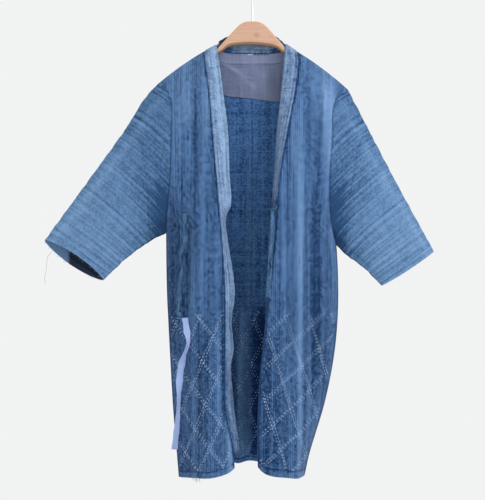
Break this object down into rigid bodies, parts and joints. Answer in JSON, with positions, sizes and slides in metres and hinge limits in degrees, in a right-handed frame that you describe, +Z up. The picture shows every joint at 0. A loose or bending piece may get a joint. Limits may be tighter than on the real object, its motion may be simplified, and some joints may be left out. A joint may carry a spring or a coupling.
{
  "type": "work jacket on hanger",
  "caption": "Indigo stitched-cotton work coat with a long folded collar and wide sleeves, hanging open on a wooden hanger with a wire hook.",
  "frame": {"origin": "inner crown of the wire hook, where the rail carries the hanger", "axes": "+Z up along the hook's stem; -Y is the way the open front of the coat faces; +X is toward the viewer's right, which is the wearer's left"},
  "size_m": [0.8833, 0.1317, 1.1291],
  "materials": {
    "indigo_twill": "faded indigo cotton, densely stitched",
    "indigo_sleeve": "faded indigo cotton with slub stripes",
    "pale_collar": "worn pale indigo cotton, folded",
    "inside_indigo": "dark indigo cotton",
    "lavender_cotton": "plain grey-lavender cotton",
    "lavender_tape": "smooth woven tape",
    "hanger_wood": "pale satin-varnished wood",
    "hook_steel": "bright drawn wire"
  },
  "bodies": {
    "root": {"body_right": "indigo_twill", "body_left": "indigo_twill", "collar": "pale_collar", "sleeve_right_upper": "indigo_sleeve", "sleeve_right_lower": "indigo_sleeve", "sleeve_right_cuff": "indigo_sleeve", "sleeve_left_upper": "indigo_sleeve", "sleeve_left_lower": "indigo_sleeve", "sleeve_left_cuff": "indigo_sleeve", "shoulder_lining_strip": "lavender_cotton", "shoulder_lining": "lavender_cotton", "lower_back_lining": "inside_indigo", "tie_right": "inside_indigo", "tape_right": "lavender_tape", "tie_left": "inside_indigo", "hanger_wood": "hanger_wood", "hanger_hook": "hook_steel"}
  },
  "joints": []
}
